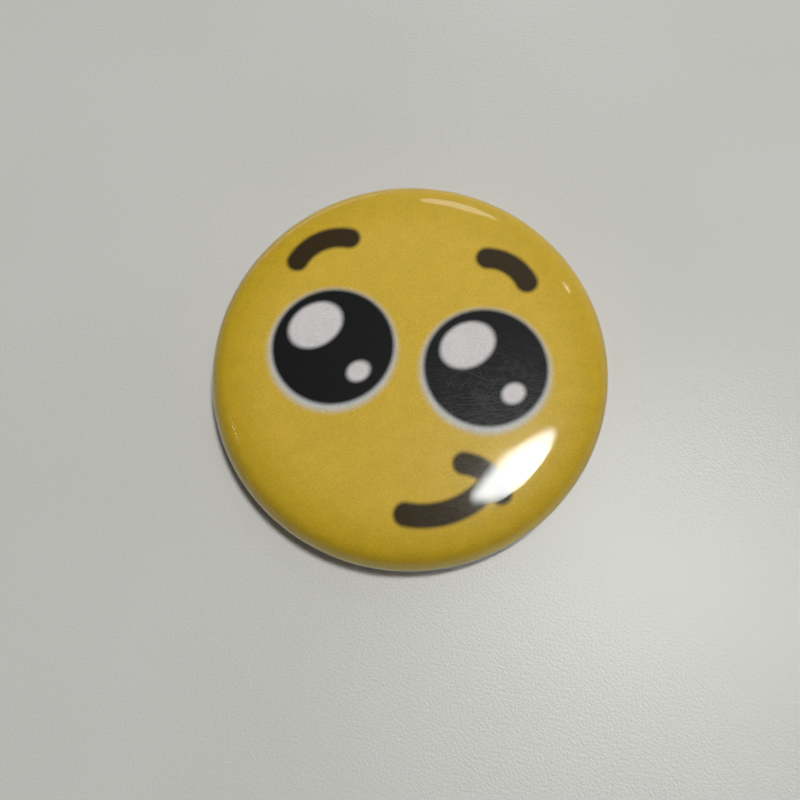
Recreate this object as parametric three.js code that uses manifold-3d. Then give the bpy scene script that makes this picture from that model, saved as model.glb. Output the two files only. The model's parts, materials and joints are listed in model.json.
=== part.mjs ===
// Round button badge, 58 mm across: a printed paper disc and a clear film stretched over a domed
// tinplate shell, crimped round a stamped back plate that carries a coiled safety pin.
// Millimetres. +Z points out of the picture side, +Y is the picture's up, and the origin is the centre
// of the plane that the badge lies on.
import * as THREE from "three";
import { mergeVertices } from "three/addons/utils/BufferGeometryUtils.js";
import Module from "manifold-3d";

// ---- Driving dimensions ------------------------------------------------------------------------

const BADGE_RADIUS = 29;

// The outer skin's section, from the crown to the edge tucked in behind the crimp: arcs and an upright
// wall, each of which meets the next one at the same slope.
const CROWN_SLOPE_END = 6; // degrees, where the shallow crown gives way to the shoulder
const SHOULDER_RADIUS = 22;
const SHOULDER_SLOPE_END = 14; // degrees
const RIM_RADIUS = 3.6;
const RIM_HEIGHT = 2.5; // where the rim's rounding meets the short upright wall
const CRIMP_RADIUS = 1;
const CRIMP_HEIGHT = 1.6; // where the wall starts to curl in

// The three skins, from the outside in.
const SKIN_GAP = 0.03;
const FILM_THICKNESS = 0.1;
const PAPER_THICKNESS = 0.15;
const SHELL_THICKNESS = 0.3;
const PAPER_DEPTH = FILM_THICKNESS + SKIN_GAP;
const SHELL_DEPTH = PAPER_DEPTH + PAPER_THICKNESS + SKIN_GAP;
const TUCK_TOP = 2.9; // how high the film and the paper run up inside the crimp
const SHELL_LIP_TOP = 2.6;

// The back plate: a flat web, a pressed ring that the badge lies on, and a flange over the crimp. The
// radii are those of the corners before they are bent round.
const PLATE_THICKNESS = 0.3;
const WEB_UNDERSIDE = 3.1;
const WEB_CORNER_RADIUS = 22.55;
const RING_INNER_RADIUS = 23.77;
const RING_OUTER_RADIUS = 26.05;
const PRESS_BEND = 0.4; // how far each bend reaches along the sheet, either side of its corner
const FLANGE_UNDERSIDE = 3.15;
const FLANGE_CORNER_RADIUS = 26.8;
const FLANGE_BEND = 0.2;
const FLANGE_RADIUS = 27.5;

// The safety pin, lying flat under the web with its fixed leg in two bridges of the plate.
const WIRE_RADIUS = 0.4;
const WIRE_SIDES = 8;
const LEG_Y = 6;
const LEG_DROP = 1; // from the web's underside to the leg's axis
const LEG_Z = WEB_UNDERSIDE - LEG_DROP;
const COIL_X = -15.9;
const COIL_RADIUS = 1.8; // to the middle of the wire
const COIL_TURNS = 1.5;
const COIL_PITCH = 0.85;
const PIN_RIGHT_END = 18.1;

const CAP_LENGTH = 5.8;
const CAP_SHEET = 0.28;
const CAP_ROLL_RADIUS = 0.6; // to the middle of the sheet that wraps the leg
const CAP_WIDTH = 4.8; // from the leg's axis to the needle's axis
const CAP_LIP_RADIUS = 0.8;
const CAP_LIP_END = 185; // degrees round the needle, from the pocket's open side
const CAP_FLAP_LENGTH = 2.2;

const NEEDLE_START_GAP = 0.15; // between the coil's end and the needle's rounded root
const NEEDLE_POINT_LENGTH = 3.2;
const NEEDLE_POINT_RADIUS = 0.06;
const NEEDLE_TIP_DROP = 0.1; // from the leg's axis down to the needle's tip
const WIRE_END_CLEARANCE = 0.8; // from the leg's end and the needle's tip to the cap's end wall

const BRIDGE_X = [-7, 7];
const BRIDGE_WIDTH = 3;
const BRIDGE_CLEARANCE = 0.1; // round the leg, and beside the strap in its window
const BRIDGE_FOOT_Y = 2.4; // from the leg's axis to the strap's end, inside the web
const BRIDGE_SLOPE = 0.75; // how far each side of the strap runs as it drops from the web
const WINDOW_HALF_LENGTH = 1.9;
const WINDOW_CUT_HEIGHT = 3 * PLATE_THICKNESS;

// How finely each round stretch is divided.
const ROUND_SEGMENTS = 48;
const CROWN_STEPS = 3;
const SHOULDER_STEPS = 2;
const RIM_STEPS = 4;
const CRIMP_STEPS = 5;
const BRIDGE_STEPS = 6;
const WIRE_STEPS = 64;
const NEEDLE_SIDES = 12;
const NEEDLE_ROOT_STEPS = 4;
const CAP_ROLL_STEPS = 8;
const CAP_LIP_STEPS = 6;
const CAP_END_STEPS = 8;
const MERGE_DISTANCE = 1e-4;

// ---- Solids ------------------------------------------------------------------------------------

const wasm = await Module();
wasm.setup();

function toSolid(geometry) {
  const bare = geometry.index ? geometry.toNonIndexed() : geometry.clone();
  bare.deleteAttribute("normal");
  bare.deleteAttribute("uv");
  const merged = mergeVertices(bare, MERGE_DISTANCE);
  const vertProperties = merged.attributes.position.array;
  const triVerts = new Uint32Array(merged.index.array);
  return new wasm.Manifold(new wasm.Mesh({ numProp: 3, vertProperties, triVerts }));
}

function toGeometry(solid) {
  const mesh = solid.getMesh();
  const geometry = new THREE.BufferGeometry();
  geometry.setAttribute("position", new THREE.BufferAttribute(mesh.vertProperties, 3));
  geometry.setIndex(new THREE.BufferAttribute(mesh.triVerts, 1));
  return geometry;
}

function metal(color, roughness) {
  return new THREE.MeshStandardMaterial({ color, roughness, metalness: 1 });
}

function sheet(color, roughness, opacity) {
  const transparent = opacity < 1;
  return new THREE.MeshStandardMaterial({ color, roughness, metalness: 0, transparent, opacity });
}

// ---- Section helpers: points are (radius, height) or (across, height) ---------------------------

const radians = THREE.MathUtils.degToRad;

// Points along an arc, its first one left out so that arcs can follow each other.
function arc(centre, radius, fromDegrees, toDegrees, steps) {
  return Array.from({ length: steps }, (_, i) => {
    const angle = radians(fromDegrees + ((toDegrees - fromDegrees) * (i + 1)) / steps);
    return new THREE.Vector2(centre.x + radius * Math.cos(angle), centre.y + radius * Math.sin(angle));
  });
}

function unit(degrees) {
  return new THREE.Vector2(Math.cos(radians(degrees)), Math.sin(radians(degrees)));
}

// The path shifted sideways, to its left, by the same distance all along.
function shifted(path, distance) {
  const leftOf = (a, b) => new THREE.Vector2(a.y - b.y, b.x - a.x).normalize();
  return path.map((point, i) => {
    const before = i > 0 ? leftOf(path[i - 1], point) : null;
    const after = i < path.length - 1 ? leftOf(point, path[i + 1]) : null;
    const normal = before && after ? before.clone().add(after).normalize() : (before ?? after);
    const stretch = distance / normal.dot(before ?? after);
    return point.clone().addScaledVector(normal, stretch);
  });
}

// A sheet's closed section: the path is the middle of the sheet.
function sheetSection(path, thickness) {
  return [...shifted(path, -thickness / 2), ...shifted(path, thickness / 2).reverse()];
}

function revolved(outline) {
  return new THREE.LatheGeometry(outline, ROUND_SEGMENTS).rotateX(Math.PI / 2);
}

// A section drawn in (y, z), extruded from one x to another.
function alongX(shape, fromX, toX) {
  const depth = toX - fromX;
  const curveSegments = CAP_END_STEPS;
  const geometry = new THREE.ExtrudeGeometry(shape, { depth, bevelEnabled: false, curveSegments });
  const yzToXyz = new THREE.Matrix4().makeBasis(
    new THREE.Vector3(0, 1, 0),
    new THREE.Vector3(0, 0, 1),
    new THREE.Vector3(1, 0, 0),
  );
  return geometry.applyMatrix4(yzToXyz).translate(fromX, 0, 0);
}

// ---- The three skins ---------------------------------------------------------------------------

const rimCentre = new THREE.Vector2(BADGE_RADIUS - RIM_RADIUS, RIM_HEIGHT);
const shoulderCentre = rimCentre
  .clone()
  .addScaledVector(unit(90 - SHOULDER_SLOPE_END), RIM_RADIUS - SHOULDER_RADIUS);
const crownRadius = SHOULDER_RADIUS + shoulderCentre.x / Math.sin(radians(CROWN_SLOPE_END));
const crownCentre = new THREE.Vector2(
  0,
  shoulderCentre.y - (crownRadius - SHOULDER_RADIUS) * Math.cos(radians(CROWN_SLOPE_END)),
);
const crimpCentre = new THREE.Vector2(BADGE_RADIUS - CRIMP_RADIUS, CRIMP_HEIGHT);

// The skin's section at a depth under the outer surface, from the axis to its edge inside the crimp.
function skinPath(depth, edgeHeight) {
  const crownEnd = 90 - CROWN_SLOPE_END;
  const shoulderEnd = 90 - SHOULDER_SLOPE_END;
  return [
    new THREE.Vector2(0, crownCentre.y + crownRadius - depth),
    ...arc(crownCentre, crownRadius - depth, 90, crownEnd, CROWN_STEPS),
    ...arc(shoulderCentre, SHOULDER_RADIUS - depth, crownEnd, shoulderEnd, SHOULDER_STEPS),
    ...arc(rimCentre, RIM_RADIUS - depth, shoulderEnd, 0, RIM_STEPS),
    new THREE.Vector2(BADGE_RADIUS - depth, CRIMP_HEIGHT),
    ...arc(crimpCentre, CRIMP_RADIUS - depth, 0, -180, CRIMP_STEPS),
    new THREE.Vector2(crimpCentre.x - CRIMP_RADIUS + depth, edgeHeight),
  ];
}

function skin(name, depth, thickness, edgeHeight, material) {
  const outer = skinPath(depth, edgeHeight);
  const inner = skinPath(depth + thickness, edgeHeight);
  const mesh = new THREE.Mesh(revolved([...inner, ...outer.reverse()]), material);
  mesh.name = name;
  return mesh;
}

const film = sheet(0xfafafa, 0.08, 0.2);
const paper = sheet(0xd9b23a, 0.5, 1);
const tinplate = metal(0xb4b6b8, 0.35);

const clearFilm = skin("clear_film", 0, FILM_THICKNESS, TUCK_TOP, film);
const printedPaper = skin("printed_paper", PAPER_DEPTH, PAPER_THICKNESS, TUCK_TOP, paper);
const frontShell = skin("front_shell", SHELL_DEPTH, SHELL_THICKNESS, SHELL_LIP_TOP, tinplate);

// ---- The back plate ----------------------------------------------------------------------------

// A corner bent round: the two points where the bend starts and ends.
function bend(before, corner, after, reach) {
  return [before, after].map((end) => {
    const towards = end.clone().sub(corner).normalize();
    return corner.clone().addScaledVector(towards, reach);
  });
}

// The section of the plate's lower and outer surface, from the axis to the flange's edge.
function plateUnderside() {
  const axis = new THREE.Vector2(0, WEB_UNDERSIDE);
  const web = new THREE.Vector2(WEB_CORNER_RADIUS, WEB_UNDERSIDE);
  const ringInner = new THREE.Vector2(RING_INNER_RADIUS, 0);
  const ringOuter = new THREE.Vector2(RING_OUTER_RADIUS, 0);
  const flange = new THREE.Vector2(FLANGE_CORNER_RADIUS, FLANGE_UNDERSIDE);
  const edge = new THREE.Vector2(FLANGE_RADIUS, FLANGE_UNDERSIDE);
  return [
    axis,
    ...bend(axis, web, ringInner, PRESS_BEND),
    ...bend(web, ringInner, ringOuter, PRESS_BEND),
    ...bend(ringInner, ringOuter, flange, PRESS_BEND),
    ...bend(ringOuter, flange, edge, FLANGE_BEND),
    edge,
  ];
}

function plateBlank() {
  const underside = plateUnderside();
  return toSolid(revolved([...underside, ...shifted(underside, PLATE_THICKNESS).reverse()]));
}

// The strap that is lanced out of the web and pressed down round the leg, in (y, z).
function bridgeSection() {
  const loopRadius = WIRE_RADIUS + BRIDGE_CLEARANCE + PLATE_THICKNESS / 2;
  const webMiddle = WEB_UNDERSIDE + PLATE_THICKNESS / 2;
  const loopCentre = new THREE.Vector2(LEG_Y, LEG_Z);
  return sheetSection(
    [
      new THREE.Vector2(LEG_Y - BRIDGE_FOOT_Y, webMiddle),
      new THREE.Vector2(LEG_Y - loopRadius - BRIDGE_SLOPE, webMiddle),
      new THREE.Vector2(LEG_Y - loopRadius, LEG_Z),
      ...arc(loopCentre, loopRadius, 180, 360, BRIDGE_STEPS),
      new THREE.Vector2(LEG_Y + loopRadius + BRIDGE_SLOPE, webMiddle),
      new THREE.Vector2(LEG_Y + BRIDGE_FOOT_Y, webMiddle),
    ],
    PLATE_THICKNESS,
  );
}

function backPlate() {
  const section = new THREE.Shape(bridgeSection());
  const windowWidth = BRIDGE_WIDTH + 2 * BRIDGE_CLEARANCE;
  let solid = plateBlank();
  for (const x of BRIDGE_X) {
    const window = new THREE.BoxGeometry(windowWidth, 2 * WINDOW_HALF_LENGTH, WINDOW_CUT_HEIGHT);
    window.translate(x, LEG_Y, WEB_UNDERSIDE + PLATE_THICKNESS / 2);
    const strap = alongX(section, x - BRIDGE_WIDTH / 2, x + BRIDGE_WIDTH / 2);
    solid = solid.subtract(toSolid(window)).add(toSolid(strap));
  }
  const mesh = new THREE.Mesh(toGeometry(solid), metal(0xc2c4c6, 0.3));
  mesh.name = "back_plate";
  return mesh;
}

// ---- The safety pin ----------------------------------------------------------------------------

const pinMetal = metal(0xcfd0d2, 0.2);
const wireRightEnd = PIN_RIGHT_END - CAP_SHEET - WIRE_END_CLEARANCE;
const coilEnd = new THREE.Vector3(COIL_X, LEG_Y - 2 * COIL_RADIUS, LEG_Z - COIL_TURNS * COIL_PITCH);
const needleTip = new THREE.Vector3(wireRightEnd, LEG_Y - CAP_WIDTH, LEG_Z - NEEDLE_TIP_DROP);

// One wire: the straight leg from inside the cap to the coil, then the coil down to the needle's root.
class SpringWire extends THREE.Curve {
  constructor(legStartX) {
    super();
    this.legStartX = legStartX;
    this.legLength = legStartX - COIL_X;
    this.coilLength = COIL_TURNS * 2 * Math.PI * COIL_RADIUS;
  }

  getPoint(t, target = new THREE.Vector3()) {
    const travelled = t * (this.legLength + this.coilLength);
    if (travelled <= this.legLength) return target.set(this.legStartX - travelled, LEG_Y, LEG_Z);
    const turns = (travelled - this.legLength) / (2 * Math.PI * COIL_RADIUS);
    const angle = Math.PI / 2 + turns * 2 * Math.PI;
    return target.set(
      COIL_X + COIL_RADIUS * Math.cos(angle),
      LEG_Y - COIL_RADIUS + COIL_RADIUS * Math.sin(angle),
      LEG_Z - turns * COIL_PITCH,
    );
  }
}

function pinSpring() {
  const section = new THREE.Shape(
    Array.from({ length: WIRE_SIDES }, (_, i) => unit((360 * i) / WIRE_SIDES).multiplyScalar(WIRE_RADIUS)),
  );
  const wire = new SpringWire(wireRightEnd);
  const mesh = new THREE.Mesh(
    new THREE.ExtrudeGeometry(section, { steps: WIRE_STEPS, extrudePath: wire, bevelEnabled: false }),
    pinMetal,
  );
  mesh.name = "pin_spring";
  return mesh;
}

// The folded cap's section in (y, z): a short flap under the needle's side of the leg, a roll round the
// leg, a closed face beside the web, and a lip down the needle's outer side.
function capSection() {
  const leg = new THREE.Vector2(LEG_Y, LEG_Z);
  const needleY = LEG_Y - CAP_WIDTH;
  const lipCentre = new THREE.Vector2(needleY, LEG_Z + CAP_ROLL_RADIUS - CAP_LIP_RADIUS);
  return sheetSection(
    [
      new THREE.Vector2(LEG_Y - CAP_FLAP_LENGTH, LEG_Z - CAP_ROLL_RADIUS),
      new THREE.Vector2(LEG_Y, LEG_Z - CAP_ROLL_RADIUS),
      ...arc(leg, CAP_ROLL_RADIUS, -90, 90, CAP_ROLL_STEPS),
      new THREE.Vector2(needleY, LEG_Z + CAP_ROLL_RADIUS),
      ...arc(lipCentre, CAP_LIP_RADIUS, 90, CAP_LIP_END, CAP_LIP_STEPS),
    ],
    CAP_SHEET,
  );
}

// The cap's far end, which shuts the pocket: rounded about the leg so that it turns clear of the web.
function capEndShape() {
  const reach = CAP_ROLL_RADIUS + CAP_SHEET / 2;
  const shape = new THREE.Shape();
  shape.absarc(LEG_Y, LEG_Z, reach, -Math.PI / 2, Math.PI / 2, false);
  shape.absarc(LEG_Y - CAP_WIDTH, LEG_Z, reach, Math.PI / 2, (3 * Math.PI) / 2, false);
  return shape;
}

function pinCap() {
  const wall = toSolid(alongX(capEndShape(), PIN_RIGHT_END - CAP_SHEET, PIN_RIGHT_END));
  const section = new THREE.Shape(capSection());
  const fold = toSolid(alongX(section, PIN_RIGHT_END - CAP_LENGTH, PIN_RIGHT_END - CAP_SHEET / 2));
  const mesh = new THREE.Mesh(toGeometry(fold.add(wall)), metal(0xd2d3d4, 0.25));
  mesh.name = "pin_cap";
  return mesh;
}

// The needle, from its rounded root at the coil's lower end to its point in the cap's pocket. It turns
// about the centre of its root's rounding.
function pinNeedle() {
  const along = needleTip.clone().sub(coilEnd).normalize();
  const length = coilEnd.distanceTo(needleTip) - NEEDLE_START_GAP;
  const rootCentre = new THREE.Vector2(0, WIRE_RADIUS);
  const profile = [
    new THREE.Vector2(0, 0),
    ...arc(rootCentre, WIRE_RADIUS, -90, 0, NEEDLE_ROOT_STEPS),
    new THREE.Vector2(WIRE_RADIUS, length - NEEDLE_POINT_LENGTH),
    new THREE.Vector2(NEEDLE_POINT_RADIUS, length),
    new THREE.Vector2(0, length),
  ];
  const mesh = new THREE.Mesh(new THREE.LatheGeometry(profile, NEEDLE_SIDES), pinMetal);
  mesh.position.copy(coilEnd).addScaledVector(along, NEEDLE_START_GAP);
  mesh.quaternion.setFromUnitVectors(new THREE.Vector3(0, 1, 0), along);
  mesh.name = "pin_needle";
  return mesh;
}

// ---- Assembly ----------------------------------------------------------------------------------

const safetyPin = new THREE.Group();
safetyPin.add(pinSpring(), pinCap(), pinNeedle());

const badge = new THREE.Group();
badge.add(clearFilm, printedPaper, frontShell, backPlate(), safetyPin);

export default badge;
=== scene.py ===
import json
import math

import bmesh
import bpy
from mathutils import Matrix, Vector


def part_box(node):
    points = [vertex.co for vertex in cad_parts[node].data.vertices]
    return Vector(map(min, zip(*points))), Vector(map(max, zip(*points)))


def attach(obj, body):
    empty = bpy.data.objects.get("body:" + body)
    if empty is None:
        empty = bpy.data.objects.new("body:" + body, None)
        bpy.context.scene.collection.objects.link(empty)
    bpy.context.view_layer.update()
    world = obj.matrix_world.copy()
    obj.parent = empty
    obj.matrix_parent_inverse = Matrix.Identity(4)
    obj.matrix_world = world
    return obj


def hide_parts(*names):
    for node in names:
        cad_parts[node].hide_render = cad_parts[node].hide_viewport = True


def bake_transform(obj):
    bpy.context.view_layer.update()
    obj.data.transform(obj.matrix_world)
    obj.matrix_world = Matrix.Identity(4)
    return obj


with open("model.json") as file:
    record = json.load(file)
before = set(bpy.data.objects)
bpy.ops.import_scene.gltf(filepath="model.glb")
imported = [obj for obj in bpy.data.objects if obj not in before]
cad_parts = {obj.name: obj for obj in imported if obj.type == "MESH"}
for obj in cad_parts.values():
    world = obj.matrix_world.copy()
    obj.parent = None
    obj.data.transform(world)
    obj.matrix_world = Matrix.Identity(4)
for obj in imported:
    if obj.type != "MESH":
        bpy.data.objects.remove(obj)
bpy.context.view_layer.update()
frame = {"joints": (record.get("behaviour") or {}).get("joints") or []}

# ---- Driving dimensions, in millimetres as the CAD has them ---------------------------------------

MM = 0.001

BADGE_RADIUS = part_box("clear_film")[1].x / MM
CROWN_SLOPE_END = 6
SHOULDER_RADIUS = 22
SHOULDER_SLOPE_END = 14
RIM_RADIUS = 3.6
RIM_HEIGHT = 2.5
CRIMP_RADIUS = 1
CRIMP_HEIGHT = 1.6

SKIN_GAP = 0.03
FILM_THICKNESS = 0.1
PAPER_THICKNESS = 0.15
SHELL_THICKNESS = 0.3
PAPER_DEPTH = FILM_THICKNESS + SKIN_GAP
SHELL_DEPTH = PAPER_DEPTH + PAPER_THICKNESS + SKIN_GAP
TUCK_TOP = 2.9
SHELL_LIP_TOP = 2.6
PLEAT_HEIGHT = 0.07  # how far the skins' pleats stand up behind the rim
PLEAT_COUNT = 53

PLATE_THICKNESS = 0.3
WEB_UNDERSIDE = 3.1
WEB_CORNER_RADIUS = 22.55
RING_INNER_RADIUS = 23.77
RING_OUTER_RADIUS = 26.05
PRESS_BEND = 0.4
FLANGE_UNDERSIDE = 3.15
FLANGE_CORNER_RADIUS = 26.8
FLANGE_BEND = 0.2
FLANGE_RADIUS = 27.5

WIRE_RADIUS = 0.4
COIL_RADIUS = 1.8
COIL_TURNS = 1.5
COIL_PITCH = 0.85
COIL_X = -15.9
NEEDLE_POINT_LENGTH = 3.2
NEEDLE_POINT_RADIUS = 0.05
NEEDLE_TIP_DROP = 0.1
NEEDLE_SETTLE_LENGTH = 3  # how soon the needle's own curve out of the coil is straight
LEG_STATIONS = (10, 4, -4, -10, -14, -15.4)  # along X, from the cap to the coil

CAP_LENGTH = 5.8
CAP_SHEET = 0.28
CAP_SHEET_CORNER = 0.08
CAP_ROLL_RADIUS = 0.6
CAP_WIDTH = 4.8
CAP_LIP_RADIUS = 0.8
CAP_LIP_END = 185
CAP_FLAP_LENGTH = 2.2
WIRE_END_CLEARANCE = 0.8

BRIDGE_X = (-7, 7)
BRIDGE_WIDTH = 3
BRIDGE_CLEARANCE = 0.1
BRIDGE_FOOT_Y = 2.4
BRIDGE_SLOPE = 0.75
BRIDGE_BEND = 0.25
STRAP_THICKNESS = PLATE_THICKNESS - 0.01  # a hair under the web's, so that its feet sink in it
STRAP_CORNER = 0.07
WINDOW_HALF_LENGTH = 1.9
WINDOW_CORNER = 0.35

SKIN_SEGMENTS = 384
PLATE_SEGMENTS = 256
WIRE_SIDES = 24
SHARP_ANGLE = math.radians(38)

joints = {joint["name"]: joint for joint in frame["joints"]}
LEG_Y = joints["pin_swing"]["pos_m"][1] / MM
LEG_Z = joints["pin_swing"]["pos_m"][2] / MM
PIN_RIGHT_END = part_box("pin_cap")[1].x / MM
WIRE_RIGHT_END = PIN_RIGHT_END - CAP_SHEET - WIRE_END_CLEARANCE
COIL_END = Vector((COIL_X, LEG_Y - 2 * COIL_RADIUS, LEG_Z - COIL_TURNS * COIL_PITCH))
NEEDLE_TIP = Vector((WIRE_RIGHT_END, LEG_Y - CAP_WIDTH, LEG_Z - NEEDLE_TIP_DROP))


# ---- Sections and paths, in millimetres ----------------------------------------------------------


def arc(centre, radius, start, end, steps):
    """Points along an arc, its first one left out so that arcs can follow each other. Angles in degrees."""
    turns = [math.radians(start + (end - start) * (i + 1) / steps) for i in range(steps)]
    return [Vector((centre[0] + radius * math.cos(t), centre[1] + radius * math.sin(t))) for t in turns]


def shifted(path, distance):
    """The path moved to its left by the same distance all along."""

    def left_of(a, b):
        return Vector((a.y - b.y, b.x - a.x)).normalized()

    moved = []
    for i, point in enumerate(path):
        before = left_of(path[i - 1], point) if i > 0 else None
        after = left_of(point, path[i + 1]) if i < len(path) - 1 else None
        normal = (before + after).normalized() if before and after else before or after
        moved.append(point + normal * (distance / normal.dot(before or after)))
    return moved


def bend(before, corner, after, reach, steps=6):
    """A corner bent round, as a quadratic curve that starts and ends that far from it."""
    first = corner + (before - corner).normalized() * reach
    last = corner + (after - corner).normalized() * reach
    shares = [i / steps for i in range(steps + 1)]
    return [first * (1 - s) ** 2 + corner * (2 * s * (1 - s)) + last * s**2 for s in shares]


def skin_path(depth, edge_height):
    """The skins' section at a depth under the outer surface, from the axis to the edge inside the crimp."""
    rim = Vector((BADGE_RADIUS - RIM_RADIUS, RIM_HEIGHT))
    shoulder_end, crown_end = 90 - SHOULDER_SLOPE_END, 90 - CROWN_SLOPE_END
    shoulder = arc(rim, RIM_RADIUS - SHOULDER_RADIUS, shoulder_end, shoulder_end, 1)[0]
    crown_radius = SHOULDER_RADIUS + shoulder.x / math.sin(math.radians(CROWN_SLOPE_END))
    drop = (crown_radius - SHOULDER_RADIUS) * math.cos(math.radians(CROWN_SLOPE_END))
    crown = Vector((0, shoulder.y - drop))
    crimp = Vector((BADGE_RADIUS - CRIMP_RADIUS, CRIMP_HEIGHT))
    return [
        Vector((0, crown.y + crown_radius - depth)),
        *arc(crown, crown_radius - depth, 90, crown_end, 12),
        *arc(shoulder, SHOULDER_RADIUS - depth, crown_end, shoulder_end, 8),
        *arc(rim, RIM_RADIUS - depth, shoulder_end, 0, 18),
        Vector((BADGE_RADIUS - depth, (RIM_HEIGHT + CRIMP_HEIGHT) / 2)),
        Vector((BADGE_RADIUS - depth, CRIMP_HEIGHT)),
        *arc(crimp, CRIMP_RADIUS - depth, 0, -180, 18),
        Vector((crimp.x - CRIMP_RADIUS + depth, edge_height)),
    ]


def plate_underside():
    """The section of the back plate's lower and outer surface, from the axis to the flange's edge."""
    axis = Vector((0, WEB_UNDERSIDE))
    web = Vector((WEB_CORNER_RADIUS, WEB_UNDERSIDE))
    ring_inner = Vector((RING_INNER_RADIUS, 0))
    ring_outer = Vector((RING_OUTER_RADIUS, 0))
    flange = Vector((FLANGE_CORNER_RADIUS, FLANGE_UNDERSIDE))
    edge = Vector((FLANGE_RADIUS, FLANGE_UNDERSIDE))
    return [
        axis,
        *bend(axis, web, ring_inner, PRESS_BEND),
        *bend(web, ring_inner, ring_outer, PRESS_BEND),
        *bend(ring_inner, ring_outer, flange, PRESS_BEND),
        *bend(ring_outer, flange, edge, FLANGE_BEND),
        edge,
    ]


def rounded_rectangle(width, height, corner, steps=4):
    """The outline of a rectangle with round corners, about its own centre."""
    outline = []
    for sign_x, sign_y, start in ((1, 1, 0), (-1, 1, 90), (-1, -1, 180), (1, -1, 270)):
        centre = (sign_x * (width / 2 - corner), sign_y * (height / 2 - corner))
        outline += arc(centre, corner, start - 90 / steps, start + 90, steps + 1)
    return outline


def circle(radius, sides):
    return arc((0, 0), radius, 0, 360, sides)


# ---- Mesh building -------------------------------------------------------------------------------


def made(name, points, faces):
    """A smooth-shaded mesh object from points in millimetres, its faces pointing out."""
    mesh = bpy.data.meshes.new(name)
    mesh.from_pydata([Vector(p) * MM for p in points], [], faces)
    built = bmesh.new()
    built.from_mesh(mesh)
    bmesh.ops.recalc_face_normals(built, faces=built.faces)
    built.to_mesh(mesh)
    built.free()
    piece = bpy.data.objects.new(name, mesh)
    bpy.context.scene.collection.objects.link(piece)
    smooth(piece)
    return piece


def smooth(piece):
    piece.data.polygons.foreach_set("use_smooth", [True] * len(piece.data.polygons))
    piece.data.set_sharp_from_angle(angle=SHARP_ANGLE)


def revolved(name, section, segments, lift=None):
    """A solid of revolution. The section runs from the axis round and back to it, and lift(radius, height,
    angle) may move its points."""
    top, *rings, bottom = section
    points = []
    for ring in rings:
        for i in range(segments):
            angle = 2 * math.pi * i / segments
            r, z = lift(ring.x, ring.y, angle) if lift else ring
            points.append((r * math.cos(angle), r * math.sin(angle), z))
    faces = []
    for row in range(len(rings) - 1):
        for i in range(segments):
            j = (i + 1) % segments
            a, b = row * segments, (row + 1) * segments
            faces.append((a + i, a + j, b + j, b + i))
    last = (len(rings) - 1) * segments
    for i in range(segments):
        j = (i + 1) % segments
        faces.append((i, j, len(points)))
        faces.append((last + i, last + j, len(points) + 1))
    points += [(0, 0, top.y), (0, 0, bottom.y)]
    return made(name, points, faces)


def swept(name, path, outline, across, scales=None):
    """A closed solid: the outline carried along the path, its first axis staying as near as it can to
    across."""
    count, side = len(path), Vector(across)
    points = []
    for i, point in enumerate(path):
        tangent = (path[min(i + 1, count - 1)] - path[max(i - 1, 0)]).normalized()
        side = (side - tangent * side.dot(tangent)).normalized()
        other = tangent.cross(side)
        scale = scales[i] if scales else 1
        points += [point + (side * p.x + other * p.y) * scale for p in outline]
    n = len(outline)
    faces = [tuple(range(n)), tuple(range((count - 1) * n, count * n))]
    for i in range(count - 1):
        for k in range(n):
            m = (k + 1) % n
            faces.append((i * n + k, i * n + m, (i + 1) * n + m, (i + 1) * n + k))
    return made(name, points, faces)


def combined(piece, tool, operation):
    """piece with tool joined to it or cut from it. The tool is used up."""
    cut = piece.modifiers.new("cut", "BOOLEAN")
    cut.operation = operation
    cut.solver = "EXACT"
    cut.object = tool
    bpy.context.view_layer.update()
    graph = bpy.context.evaluated_depsgraph_get()
    result = bpy.data.meshes.new_from_object(piece.evaluated_get(graph))
    piece.modifiers.remove(cut)
    piece.data = result
    bpy.data.objects.remove(tool)
    smooth(piece)
    return piece


def round_end(start, direction, radius, steps=6):
    """Stations and scales for a domed wire end whose tip is at start, up to the full radius."""
    turns = [math.radians(6 + 84 * i / steps) for i in range(steps + 1)]
    stations = [start + direction * radius * (1 - math.cos(t)) for t in turns]
    return stations, [math.sin(t) for t in turns]


# ---- The skins -----------------------------------------------------------------------------------


def pleats(radius, height, angle):
    """Film and paper gather in small pleats where they turn in behind the rim."""
    crimp_radius = BADGE_RADIUS - CRIMP_RADIUS
    if radius < crimp_radius - CRIMP_RADIUS - 0.01 or height > TUCK_TOP + 0.01:
        return radius, height
    below = math.degrees(math.atan2(CRIMP_HEIGHT - height, radius - crimp_radius))
    if height > CRIMP_HEIGHT:
        below = 180 if radius < crimp_radius else 0
    share = min(1, max(0, (below - 55) / 80))
    share = share * share * (3 - 2 * share)
    wave = math.sin(PLEAT_COUNT * angle + 2.1 * math.sin(5 * angle) + 1.4 * math.sin(3 * angle + 1))
    size = 0.6 + 0.25 * math.sin(7 * angle + 2) + 0.15 * math.sin(11 * angle)
    lift = PLEAT_HEIGHT * share * size * (0.5 + 0.5 * wave) ** 2
    outward = math.radians(below)
    return radius + lift * math.cos(outward), height - lift * math.sin(outward)


def skin(name, depth, thickness, edge_height, lift=None):
    outer = skin_path(depth, edge_height)
    inner = skin_path(depth + thickness, edge_height)
    return revolved(name, outer + inner[::-1], SKIN_SEGMENTS, lift)


# ---- The back plate ------------------------------------------------------------------------------


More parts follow.
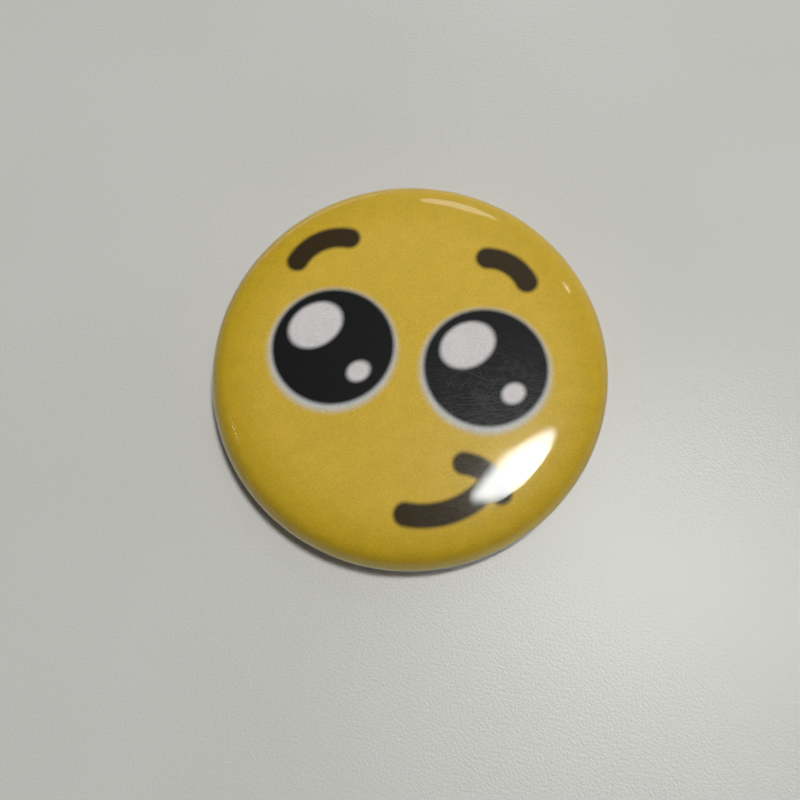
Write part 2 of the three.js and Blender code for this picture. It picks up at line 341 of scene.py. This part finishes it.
def bridge_path():
    """The middle of the strap that is lanced out of the web and pressed down round the pin's leg."""
    loop = WIRE_RADIUS + BRIDGE_CLEARANCE + PLATE_THICKNESS / 2
    web = WEB_UNDERSIDE + PLATE_THICKNESS / 2
    foot = Vector((LEG_Y - BRIDGE_FOOT_Y, web))
    side = Vector((LEG_Y - loop, LEG_Z))
    down = [foot, *bend(foot, Vector((side.x - BRIDGE_SLOPE, web)), side, BRIDGE_BEND)]
    up = [Vector((2 * LEG_Y - p.x, p.y)) for p in reversed(down)]
    return [*down, side, *arc((LEG_Y, LEG_Z), loop, 180, 360, 20), *up]


def back_plate():
    underside = plate_underside()
    plate = revolved("back_plate_fine", underside + shifted(underside, PLATE_THICKNESS)[::-1], PLATE_SEGMENTS)
    path = bridge_path()
    window = rounded_rectangle(BRIDGE_WIDTH + 2 * BRIDGE_CLEARANCE, 2 * WINDOW_HALF_LENGTH, WINDOW_CORNER)
    strap = rounded_rectangle(BRIDGE_WIDTH, STRAP_THICKNESS, STRAP_CORNER)
    for x in BRIDGE_X:
        through = [Vector((x, LEG_Y, WEB_UNDERSIDE + z)) for z in (-0.3, 0.6)]
        combined(plate, swept("window", through, window, (1, 0, 0)), "DIFFERENCE")
        line = [Vector((x, p.x, p.y)) for p in path]
        combined(plate, swept("strap", line, strap, (1, 0, 0)), "UNION")
    normals = plate.modifiers.new("even shading", "WEIGHTED_NORMAL")
    normals.keep_sharp = True
    return plate


# ---- The safety pin ------------------------------------------------------------------------------


def pin_spring():
    """The leg, from its domed end inside the cap, and the coil down to where the needle starts."""
    back = Vector((-1, 0, 0))
    path, scales = round_end(Vector((WIRE_RIGHT_END, LEG_Y, LEG_Z)), back, WIRE_RADIUS)
    path += [Vector((x, LEG_Y, LEG_Z)) for x in LEG_STATIONS]
    steps = 72
    for i in range(steps + 1):
        turns = COIL_TURNS * i / steps
        angle = math.pi / 2 + turns * 2 * math.pi
        x = COIL_X + COIL_RADIUS * math.cos(angle)
        y = LEG_Y - COIL_RADIUS + COIL_RADIUS * math.sin(angle)
        path.append(Vector((x, y, LEG_Z - turns * COIL_PITCH)))
    scales += [1] * (len(path) - len(scales))
    return swept("pin_spring_fine", path, circle(WIRE_RADIUS, WIRE_SIDES), (0, 1, 0), scales)


def pin_needle():
    """The needle: it leaves the coil in the coil's own direction and runs straight to a ground point."""
    along = (NEEDLE_TIP - COIL_END).normalized()
    length = (NEEDLE_TIP - COIL_END).length
    coil_slope = COIL_PITCH / (2 * math.pi * COIL_RADIUS)
    leaving = Vector((1, 0, -coil_slope)).normalized()
    steps = 48
    path, scales = [], []
    for i in range(steps + 1):
        travelled = length * i / steps
        settle = max(0, 1 - travelled / NEEDLE_SETTLE_LENGTH)
        path.append(COIL_END + along * travelled + (leaving - along) * travelled * settle**2)
        to_tip = (length - travelled) / NEEDLE_POINT_LENGTH
        taper = min(1, math.sin(min(1, to_tip) * math.pi / 2) ** 0.9)
        scales.append(max(NEEDLE_POINT_RADIUS / WIRE_RADIUS, taper))
    return swept("pin_needle_fine", path, circle(WIRE_RADIUS, WIRE_SIDES), (0, 1, 0), scales)


def cap_path():
    """The middle of the cap's folded sheet: flap, roll round the leg, closed face, lip over the needle."""
    needle_y = LEG_Y - CAP_WIDTH
    lip = (needle_y, LEG_Z + CAP_ROLL_RADIUS - CAP_LIP_RADIUS)
    face_z = LEG_Z + CAP_ROLL_RADIUS
    return [
        Vector((LEG_Y - CAP_FLAP_LENGTH, LEG_Z - CAP_ROLL_RADIUS)),
        Vector((LEG_Y - CAP_FLAP_LENGTH / 2, LEG_Z - CAP_ROLL_RADIUS)),
        Vector((LEG_Y, LEG_Z - CAP_ROLL_RADIUS)),
        *arc((LEG_Y, LEG_Z), CAP_ROLL_RADIUS, -90, 90, 20),
        *[Vector((LEG_Y - CAP_WIDTH * i / 4, face_z)) for i in range(1, 5)],
        *arc(lip, CAP_LIP_RADIUS, 90, CAP_LIP_END, 12),
    ]


def cap_end_outline():
    """The cap's far wall, as (across, up) about the leg's axis."""
    reach = CAP_ROLL_RADIUS + CAP_SHEET / 2
    return arc((0, 0), reach, -90, 90, 16) + arc((-CAP_WIDTH, 0), reach, 90, 270, 16)


def pin_cap():
    left, right = PIN_RIGHT_END - CAP_LENGTH, PIN_RIGHT_END - CAP_SHEET / 2
    middle = (left + right) / 2
    sheet = rounded_rectangle(right - left, CAP_SHEET, CAP_SHEET_CORNER)
    fold = [Vector((middle, p.x, p.y)) for p in cap_path()]
    cap = swept("pin_cap_fine", fold, sheet, (1, 0, 0))
    stations = (
        (PIN_RIGHT_END, 0.95),
        (PIN_RIGHT_END - 0.07, 1),
        (PIN_RIGHT_END - CAP_SHEET + 0.03, 1),
        (PIN_RIGHT_END - CAP_SHEET, 0.97),
    )
    wall_path = [Vector((x, LEG_Y, LEG_Z)) for x, _ in stations]
    wall = swept("wall", wall_path, cap_end_outline(), (0, 1, 0), [s for _, s in stations])
    return combined(cap, wall, "UNION")


# ---- Materials -----------------------------------------------------------------------------------


class Look:
    """One node material, with short names for the nodes that it is made of. Patterns are in millimetres."""

    def __init__(self, name):
        self.material = bpy.data.materials.new(name)
        self.material.use_nodes = True
        self.tree = self.material.node_tree
        self.tree.nodes.clear()
        self.output = self.node("ShaderNodeOutputMaterial")
        place = self.node("ShaderNodeTexCoord").outputs["Object"]
        self.place = self.vector("SCALE", place, scale=1 / MM)

    def node(self, kind, inputs=None, **settings):
        made_node = self.tree.nodes.new(kind)
        for key, value in settings.items():
            setattr(made_node, key, value)
        for key, value in (inputs or {}).items():
            self.feed(made_node.inputs[key], value)
        return made_node

    def feed(self, socket, value):
        if isinstance(value, bpy.types.NodeSocket):
            self.tree.links.new(value, socket)
        else:
            socket.default_value = value

    def math(self, operation, *values, clamp=False):
        made_node = self.node("ShaderNodeMath", operation=operation, use_clamp=clamp)
        for socket, value in zip(made_node.inputs, values):
            self.feed(socket, value)
        return made_node.outputs[0]

    def vector(self, operation, *values, scale=None):
        made_node = self.node("ShaderNodeVectorMath", operation=operation)
        for socket, value in zip(made_node.inputs, values):
            self.feed(socket, value)
        if scale is not None:
            made_node.inputs["Scale"].default_value = scale
        return made_node.outputs["Value" if operation in ("LENGTH", "DOT_PRODUCT") else "Vector"]

    def ramp(self, value, low, high, to_low=0.0, to_high=1.0):
        """value eased from to_low at low to to_high at high."""
        inputs = {"Value": value, "From Min": low, "From Max": high, "To Min": to_low, "To Max": to_high}
        return self.node("ShaderNodeMapRange", inputs, interpolation_type="SMOOTHSTEP").outputs["Result"]

    def noise(self, scale, detail=2.0, place=None, roughness=0.5):
        """Noise with about that many features to the millimetre."""
        inputs = {"Vector": place or self.place, "Scale": scale, "Detail": detail, "Roughness": roughness}
        return self.node("ShaderNodeTexNoise", inputs).outputs["Fac"]

    def turned(self, degrees, stretch):
        """The place turned about Z, then scaled, for patterns that run one way."""
        spun = self.node(
            "ShaderNodeVectorRotate",
            {"Vector": self.place, "Angle": math.radians(degrees)},
            rotation_type="Z_AXIS",
        ).outputs[0]
        return self.vector("MULTIPLY", spun, stretch)

    def mix(self, share, first, second):
        made_node = self.node("ShaderNodeMix", data_type="RGBA")
        for key, value in ((0, share), (6, first), (7, second)):
            self.feed(made_node.inputs[key], value)
        return made_node.outputs[2]

    def bump(self, height, micrometres):
        inputs = {"Height": height, "Distance": micrometres * 1e-6}
        return self.node("ShaderNodeBump", inputs).outputs[0]

    def hairlines(self, seed, degrees, fineness, rarest):
        """Fine lines that run one way, 0 to 1. Only the part of the noise above rarest shows."""
        streak = self.turned(-degrees, (0.25, fineness, 1))
        streak = self.vector("ADD", streak, (seed, 1.9 * seed, 0))
        return self.ramp(self.noise(1.0, 1.0, streak), rarest, rarest + 0.1)

    def scratches(self, seed, directions, fineness, rarest):
        """Hairlines in several directions, 0 to 1."""
        total = 0.0
        for i, degrees in enumerate(directions):
            lines = self.hairlines(seed + 3.7 * i, degrees, fineness, rarest)
            total = self.math("ADD", total, lines, clamp=True)
        return total

    def done(self, shader):
        self.tree.links.new(shader, self.output.inputs["Surface"])
        return self.material


def rgb(red, green, blue):
    return (red, green, blue, 1.0)


def darker(colour, share):
    red, green, blue, _ = colour
    return rgb(share * red, share * green, share * blue)


FILM_IOR = 1.5
FILM_HAZE_ROUGHNESS = 0.36
FILM_HAZE_SHARE = 0.26


def clear_film_look():
    """Clear polyester film: see-through, with a sharp gloss and a faint haze."""
    look = Look("clear film")
    grain = look.noise(3.2, 3.0)
    swell = look.noise(0.35, 1.0)
    relief = look.math("ADD", look.math("MULTIPLY", grain, 0.6), look.math("MULTIPLY", swell, 2.0))
    normal = look.bump(relief, 1.0)
    rub = look.ramp(look.noise(0.12, 2.0), 0.35, 0.7, 0.06, 0.085)
    white = rgb(1, 1, 1)
    sharp = look.node("ShaderNodeBsdfGlossy", {"Color": white, "Roughness": rub, "Normal": normal})
    haze = look.node(
        "ShaderNodeBsdfGlossy", {"Color": white, "Roughness": FILM_HAZE_ROUGHNESS, "Normal": normal}
    )
    both = {0: FILM_HAZE_SHARE, 1: sharp.outputs[0], 2: haze.outputs[0]}
    gloss = look.node("ShaderNodeMixShader", both).outputs[0]
    clear = look.node("ShaderNodeBsdfTransparent", {"Color": white})
    fresnel = look.node("ShaderNodeFresnel", {"IOR": FILM_IOR, "Normal": normal}).outputs[0]
    outer = look.math("SUBTRACT", 1.0, look.node("ShaderNodeNewGeometry").outputs["Backfacing"])
    share = look.math("MULTIPLY", fresnel, outer)
    film = look.node("ShaderNodeMixShader", {0: share, 1: clear.outputs[0], 2: gloss})
    return look.done(film.outputs[0])


class Print:
    """The printed picture: soft-edged shapes in ink, laid over each other in the badge's own plane."""

    SOFT = 0.44  # how far an edge fades, either side

    def __init__(self, look, ground):
        self.look = look
        self.colour = ground
        wander = look.node("ShaderNodeTexNoise", {"Vector": look.place, "Scale": 2.6}).outputs["Color"]
        wander = look.vector("SUBTRACT", wander, (0.5, 0.5, 0.5))
        moved = look.vector("ADD", look.place, look.vector("SCALE", wander, scale=0.12))
        self.flat = look.vector("MULTIPLY", moved, (1, 1, 0))

    def lay(self, ink, distance, soft=None):
        """Inks where distance, in millimetres outside the shape, is below 0."""
        soft = soft or self.SOFT
        share = self.look.ramp(distance, soft, -soft)
        self.colour = self.look.mix(share, self.colour, ink)

    def oval(self, ink, centre, half_width, half_height, degrees=0, soft=None):
        look = self.look
        local = look.vector("SUBTRACT", self.flat, (*centre, 0))
        if degrees:
            local = look.node(
                "ShaderNodeVectorRotate",
                {"Vector": local, "Angle": math.radians(-degrees)},
                rotation_type="Z_AXIS",
            ).outputs[0]
        small = min(half_width, half_height)
        local = look.vector("MULTIPLY", local, (small / half_width, small / half_height, 1))
        self.lay(ink, look.math("SUBTRACT", look.vector("LENGTH", local), small), soft)

    def stroke(self, ink, centre, radius, start, end, width):
        """A round-ended stroke along an arc, its angles in degrees anticlockwise."""
        look = self.look
        local = look.vector("SUBTRACT", self.flat, (*centre, 0))
        middle = math.radians((start + end) / 2)
        local = look.node(
            "ShaderNodeVectorRotate", {"Vector": local, "Angle": -middle}, rotation_type="Z_AXIS"
        ).outputs[0]
        parts = look.node("ShaderNodeSeparateXYZ", {"Vector": local})
        half = math.radians(abs(end - start) / 2)
        angle = look.math("ARCTAN2", parts.outputs["Y"], parts.outputs["X"])
        angle = look.math("MAXIMUM", look.math("MINIMUM", angle, half), -half)
        x = look.math("MULTIPLY", look.math("COSINE", angle), radius)
        y = look.math("MULTIPLY", look.math("SINE", angle), radius)
        nearest = look.node("ShaderNodeCombineXYZ", {"X": x, "Y": y}).outputs[0]
        apart = look.vector("LENGTH", look.vector("SUBTRACT", local, nearest))
        self.lay(ink, look.math("SUBTRACT", apart, width / 2))


INK_BLACK = rgb(0.006, 0.0065, 0.0075)
INK_BROWN = rgb(0.035, 0.022, 0.006)
INK_WHITE = rgb(0.68, 0.66, 0.67)
INK_HALO = rgb(0.58, 0.6, 0.6)
EYE_CENTRES = ((-11, 0.75), (11, 0.8))
EYE_RADIUS = 8.8


def draw_eye(picture, x, y):
    picture.oval(INK_HALO, (x, y - 0.45), EYE_RADIUS + 0.45, EYE_RADIUS + 0.3, soft=0.8)
    picture.oval(INK_BLACK, (x, y), EYE_RADIUS, EYE_RADIUS - 0.2)
    picture.oval(INK_WHITE, (x - 3, y + 2.8), 4.1, 3.2, 40)
    picture.oval(INK_WHITE, (x + 4.3, y - 3.2), 1.7, 1.4, 40)


def draw_face(picture):
    """A plain big-eyed smiling face, drawn from circles, ovals and round-ended arcs."""
    for x, y in EYE_CENTRES:
        draw_eye(picture, x, y)
    picture.stroke(INK_BROWN, (-12, 10.8), 6.9, 86, 160, 3.3)
    picture.stroke(INK_BROWN, (9.9, 11.2), 6.2, 33, 98, 3.4)
    picture.stroke(INK_BROWN, (3.3, -9), 12.3, -92, -39, 3.4)
    picture.stroke(INK_BROWN, (10, -19.2), 6, 27, 92, 3.2)


PAPER_YELLOW = rgb(0.66, 0.45, 0.05)
PAPER_EDGE_YELLOW = rgb(0.555, 0.37, 0.015)
# painted reflection: a paler yellow at the rim's lower-left side stands in for the pale floor reflected in
# the film
PAPER_RIM_REFLECTION_YELLOW = rgb(0.9, 0.7, 0.08)
RIM_REFLECTION_SIDE = (-0.34, -0.94, 0)
# painted highlight: the film's real scratches drawn pale, as glints of the glare
SCRATCH_GLINT_GREY = rgb(0.8, 0.8, 0.77)
SCRATCH_GLINT_SHARE = 0.06
SCRATCH_DIRECTIONS = (7, 15, 24, 61, 118, 166)
# where the painted scratch glints are strongest: under the glare, fading out over this reach
GLINT_CENTRE = (14, -9)
GLINT_REACH = 21


def paper_ground(look):
    """Yellow that deepens towards the edge, with a painted reflection: it is paler where it folds over the
    rim on one side, standing in for the pale floor seen in the film there.
    """
    out = look.vector("LENGTH", look.vector("MULTIPLY", look.place, (1, 1, 0)))
    up = look.node("ShaderNodeSeparateXYZ", {"Vector": look.place}).outputs["Z"]
    side = look.vector("DOT_PRODUCT", look.place, RIM_REFLECTION_SIDE)
    at_rim = look.ramp(out, BADGE_RADIUS - 1.1, BADGE_RADIUS - 0.05)
    above_crimp = look.ramp(up, RIM_HEIGHT - 0.6, RIM_HEIGHT + 0.2)
    # painted reflection of the pale floor, on the rim's lower-left side only
    fold = look.math("MULTIPLY", look.math("MULTIPLY", at_rim, above_crimp), look.ramp(side, -2, 16))
    ground = look.mix(look.ramp(out, 19, 28), PAPER_YELLOW, PAPER_EDGE_YELLOW)
    return look.mix(fold, ground, PAPER_RIM_REFLECTION_YELLOW)


def printed_paper_look():
    """A golden yellow inkjet print with its soft-edged picture. The film's real hairline scratches are drawn
    into it as pale lines with a painted highlight, palest round the place where the glare falls, as if they
    caught its light."""
    look = Look("printed paper")
    picture = Print(look, paper_ground(look))
    draw_face(picture)
    # painted highlight: the scratch lines are palest where the glare falls and fade with distance from it
    from_glint_centre = look.vector("LENGTH", look.vector("SUBTRACT", picture.flat, (*GLINT_CENTRE, 0)))
    scratch_glints = look.scratches(2.3, SCRATCH_DIRECTIONS, 8.0, 0.6)
    scratch_glints = look.math("MULTIPLY", scratch_glints, look.ramp(from_glint_centre, GLINT_REACH, 0, 0.0, SCRATCH_GLINT_SHARE))
    with_scratch_glints = look.mix(scratch_glints, picture.colour, SCRATCH_GLINT_GREY)
    blotches = look.ramp(look.noise(0.5, 3.0), 0.3, 0.7, 0.97, 1.03)
    dots = look.ramp(look.noise(5.5, 2.0), 0.3, 0.7, 0.9, 1.1)
    tone = look.math("MULTIPLY", blotches, dots)
    colour = look.vector("SCALE", with_scratch_glints)
    look.tree.links.new(tone, colour.node.inputs["Scale"])
    roughness = look.ramp(look.noise(4.0), 0.3, 0.7, 0.5, 0.62)
    paper = look.node(
        "ShaderNodeBsdfPrincipled",
        {"Base Color": colour, "Roughness": roughness, "Normal": look.bump(look.noise(5.0, 3.0), 4)},
    )
    paper.inputs["Specular IOR Level"].default_value = 0.2
    return look.done(paper.outputs[0])


def tinplate_look(name, colour, lines=20):
    """Bright tinplate: rolling lines one way, faint stains and rubbed scratches."""
    look = Look(name)
    rolled = look.noise(1.0, 3.0, look.turned(lines, (0.12, 9.0, 1)))
    stains = look.ramp(look.noise(0.16, 4.0, roughness=0.6), 0.35, 0.7)
    marks = look.scratches(7.1, (12, 64, 139), 6.5, 0.62)
    shade = look.mix(look.math("MULTIPLY", stains, 0.6), colour, darker(colour, 0.82))
    roughness = look.math("ADD", look.ramp(rolled, 0.3, 0.7, 0.2, 0.34), look.math("MULTIPLY", marks, 0.12))
    relief = look.math("SUBTRACT", look.math("MULTIPLY", rolled, 0.8), marks)
    metal = look.node(
        "ShaderNodeBsdfPrincipled",
        {"Base Color": shade, "Roughness": roughness, "Normal": look.bump(relief, 1.6)},
    )
    metal.inputs["Metallic"].default_value = 1.0
    return look.done(metal.outputs[0])


def nickel_look(name, colour, drawn):
    """Nickel plating: bright, with drawing lines along the wire or sheet and a slightly mottled gloss."""
    look = Look(name)
    lines = look.noise(1.0, 2.0, look.vector("MULTIPLY", look.place, drawn))
    mottle = look.noise(1.3, 3.0)
    shade = look.mix(look.ramp(mottle, 0.35, 0.75), colour, darker(colour, 0.86))
    roughness = look.math("ADD", look.ramp(lines, 0.3, 0.7, 0.1, 0.2), look.ramp(mottle, 0.4, 0.8, 0, 0.08))
    metal = look.node(
        "ShaderNodeBsdfPrincipled",
        {"Base Color": shade, "Roughness": roughness, "Normal": look.bump(lines, 1.2)},
    )
    metal.inputs["Metallic"].default_value = 1.0
    return look.done(metal.outputs[0])


def floor_look():
    """A pale laminate table top with a fine leathery grain and a soft sheen."""
    look = Look("pale floor")
    grain = look.noise(2.6, 2.0, roughness=0.6)
    cloud = look.noise(0.02, 2.0)
    shade = look.mix(look.ramp(cloud, 0.3, 0.7), rgb(0.625, 0.627, 0.606), rgb(0.65, 0.651, 0.632))
    top = look.node(
        "ShaderNodeBsdfPrincipled",
        {"Base Color": shade, "Roughness": 0.34, "Normal": look.bump(grain, 50)},
    )
    top.inputs["Specular IOR Level"].default_value = 1.0
    return look.done(top.outputs[0])


# ---- Camera, light and floor ---------------------------------------------------------------------

CAMERA_TARGET = Vector((-0.0005, -0.0049, 0.0039))
CAMERA_DISTANCE = 0.1235
CAMERA_AZIMUTH = 16.6  # degrees round from the picture's foot
CAMERA_ELEVATION = 76.2
CAMERA_HEADING = 8.4  # where the right-hand side of the view points, in degrees from +X
CAMERA_FIELD = 50.0
FLOOR_HALF = 4
LIGHT_DISTANCE = 2.0


def facing(direction, heading):
    """The rotation of a camera or light that stands in that direction and looks back at the badge."""
    z = direction.normalized()
    level = Vector((math.cos(math.radians(heading)), math.sin(math.radians(heading)), 0))
    x = (level - z * z.dot(level)).normalized()
    return Matrix((x, z.cross(x), z)).transposed().to_euler()


def add_camera():
    data = bpy.data.cameras.new("camera")
    data.angle = math.radians(CAMERA_FIELD)
    data.clip_start = 0.005
    camera = bpy.data.objects.new("camera", data)
    bpy.context.scene.collection.objects.link(camera)
    round_by, up_by = math.radians(CAMERA_AZIMUTH), math.radians(CAMERA_ELEVATION)
    level = math.cos(up_by)
    back = Vector((math.sin(round_by) * level, -math.cos(round_by) * level, math.sin(up_by)))
    camera.location = CAMERA_TARGET + back * CAMERA_DISTANCE
    camera.rotation_euler = facing(back, CAMERA_HEADING)
    bpy.context.scene.camera = camera


def stand(light, direction, heading):
    """Stands a light off in that direction, facing the badge, and puts it in the scene."""
    bpy.context.scene.collection.objects.link(light)
    light.location = direction.normalized() * LIGHT_DISTANCE
    light.rotation_euler = facing(direction, heading)


def add_light(name, direction, heading, width, height, radiance, colour=(1, 1, 1)):
    """An oval soft light. Its width and height are how large it looks from the badge, in radians, and its
    width runs along the heading."""
    data = bpy.data.lights.new(name, "AREA")
    data.shape = "ELLIPSE"
    data.size = width * LIGHT_DISTANCE
    data.size_y = height * LIGHT_DISTANCE
    data.energy = radiance * math.pi * data.size * data.size_y * math.pi / 4
    data.color = colour
    light = bpy.data.objects.new(name, data)
    stand(light, direction, heading)
    return light


def bowed_side(length, bow, steps=16):
    """Points along one side of a leaf: from its right end over a bow that high to its left end."""
    half_turn = 2 * math.atan(2 * bow / length)
    radius = length / 2 / math.sin(half_turn)
    spread = math.degrees(half_turn)
    return arc((0, bow - radius), radius, 90 - spread, 90 + spread, steps)


def add_leaf_light(name, direction, heading, length, inner_bow, outer_bow, radiance, colour):
    """A leaf-shaped bright panel, pointed at both ends. It shows as the glare in the film and lights nothing
    else. Lengths are in radians as seen from the badge."""
    inner = bowed_side(length, inner_bow)
    outer = [-point for point in bowed_side(length, outer_bow)]
    outline = [(p.x * LIGHT_DISTANCE / MM, p.y * LIGHT_DISTANCE / MM, 0) for p in inner + outer]
    leaf = made(name, outline, [tuple(range(len(outline)))])
    bpy.context.scene.collection.objects.unlink(leaf)
    look = Look(name)
    leaf.data.materials.append(
        look.done(look.node("ShaderNodeEmission", {"Color": rgb(*colour), "Strength": radiance}).outputs[0])
    )
    stand(leaf, direction, heading)
    leaf.visible_diffuse = False


def add_world(dim, bright, horizon):
    """A dim soft surround that grows brighter beyond the picture's top, with a pale band at the horizon."""
    world = bpy.data.worlds.new("soft surround")
    bpy.context.scene.world = world
    world.use_nodes = True
    tree = world.node_tree
    direction = tree.nodes.new("ShaderNodeTexCoord").outputs["Generated"]

    def eased(towards, low, high, at_low, at_high):
        along = tree.nodes.new("ShaderNodeVectorMath")
        along.operation = "DOT_PRODUCT"
        along.inputs[1].default_value = towards
        tree.links.new(direction, along.inputs[0])
        level = tree.nodes.new("ShaderNodeMapRange")
        level.interpolation_type = "SMOOTHSTEP"
        values = {"From Min": low, "From Max": high, "To Min": at_low, "To Max": at_high}
        for key, value in values.items():
            level.inputs[key].default_value = value
        tree.links.new(along.outputs["Value"], level.inputs["Value"])
        return level.outputs["Result"]

    total = tree.nodes.new("ShaderNodeMath")
    total.operation = "ADD"
    tree.links.new(eased((0.3, 0.95, 0), 0.3, 0.95, dim, bright), total.inputs[0])
    tree.links.new(eased((0, 0, 1), 0.03, 0.16, horizon, 0), total.inputs[1])
    tree.links.new(total.outputs[0], tree.nodes["Background"].inputs["Strength"])
    tree.nodes["Background"].inputs["Color"].default_value = rgb(1.0, 0.98, 0.95)


def add_lights():
    """The leaf that shows as the glare, the key light, which shows in no gloss, and the lamps of the smaller
    glints."""
    add_leaf_light(
        "glare",
        Vector((0.224, 0.058, 0.97)),
        heading=48,
        length=0.268,
        inner_bow=0.026,
        outer_bow=0.064,
        radiance=34,
        colour=(0.97, 1, 0.96),
    )
    key = add_light("key", Vector((0.21, 0.28, 1)), 60, 0.2, 0.12, radiance=122, colour=(1, 0.99, 0.97))
    key.visible_glossy = False
    add_light("far window", Vector((0.02, 0.775, 0.63)), 0, 0.25, 0.11, radiance=4.5)
    add_light("low screen", Vector((-0.6, 0.8, 0.12)), 37, 0.8, 0.12, radiance=1.5)
    add_light("far lamp", Vector((0.4, 0.58, 0.71)), 140, 0.04, 0.04, radiance=8)
    add_light("side lamp", Vector((-0.674, -0.087, 0.733)), 107, 0.12, 0.05, radiance=6)


def add_floor(material):
    reach = FLOOR_HALF / MM
    corners = [(x * reach, y * reach, 0) for x, y in ((-1, -1), (1, -1), (1, 1), (-1, 1))]
    floor = made("floor", corners, [(0, 1, 2, 3)])
    floor.data.materials.append(material)


# ---- The scene -----------------------------------------------------------------------------------


def place(piece, node, body, slot, material):
    """The piece stands for a CAD node: it moves with its body and gets the material. The slot argument is not
    used.
    """
    piece.data.materials.clear()
    piece.data.materials.append(material)
    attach(piece, body)
    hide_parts(node)


bpy.context.scene.view_settings.view_transform = "Standard"
add_camera()

shell_metal = tinplate_look("shell tinplate", rgb(0.55, 0.55, 0.55))
plate_metal = tinplate_look("back tinplate", rgb(0.64, 0.64, 0.645), lines=63)
wire_metal = nickel_look("nickel wire", rgb(0.68, 0.665, 0.64), (0.3, 9, 9))
cap_metal = nickel_look("nickel sheet", rgb(0.7, 0.69, 0.665), (9, 0.4, 0.4))

place(
    skin("clear_film_fine", 0, FILM_THICKNESS, TUCK_TOP, pleats),
    "clear_film",
    "badge",
    "clear_film",
    clear_film_look(),
)
place(
    skin("printed_paper_fine", PAPER_DEPTH, PAPER_THICKNESS, TUCK_TOP, pleats),
    "printed_paper",
    "badge",
    "printed_paper",
    printed_paper_look(),
)
place(
    skin("front_shell_fine", SHELL_DEPTH, SHELL_THICKNESS, SHELL_LIP_TOP),
    "front_shell",
    "badge",
    "shell_tinplate",
    shell_metal,
)
place(back_plate(), "back_plate", "badge", "back_tinplate", plate_metal)
place(pin_spring(), "pin_spring", "safety_pin", "pin_wire", wire_metal)
place(pin_cap(), "pin_cap", "safety_pin", "pin_cap", cap_metal)

needle = pin_needle()
needle.data.materials.append(wire_metal)
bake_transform(needle)
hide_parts("pin_needle")

add_floor(floor_look())
add_world(dim=0.05, bright=0.45, horizon=0.4)
add_lights()
